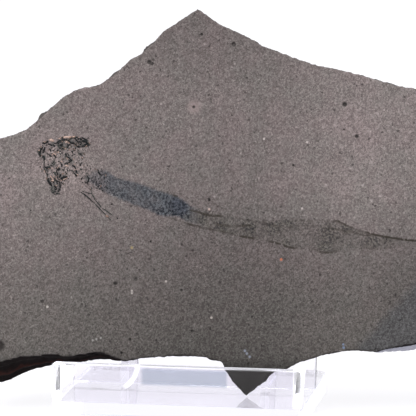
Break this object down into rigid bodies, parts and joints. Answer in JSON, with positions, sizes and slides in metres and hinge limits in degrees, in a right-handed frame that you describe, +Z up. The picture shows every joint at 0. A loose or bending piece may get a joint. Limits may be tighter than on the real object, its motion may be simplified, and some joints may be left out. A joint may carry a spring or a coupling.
{
  "type": "fossil amphibian slab",
  "caption": "Broken mudstone slab with the skull and dark body outline of a small fossil amphibian, standing tip down and leaning back in a low clear plastic display stand.",
  "frame": {"origin": "centre of the stand's flat underside", "axes": "+Z up, +X along the stand's width to the right as seen from the front, the slab's face and the stand's low front wall towards -Y"},
  "size_m": [0.1334, 0.05, 0.1002],
  "materials": {
    "mudstone": "fine-grained matt grey-brown mudstone, split along its bedding",
    "dark_bone": "dark mineralised bone, dull to faintly glossy",
    "clear_plastic": "clear moulded plastic, polished"
  },
  "bodies": {
    "root": {"slab": "mudstone", "skull": "dark_bone", "stand": "clear_plastic"}
  },
  "joints": []
}
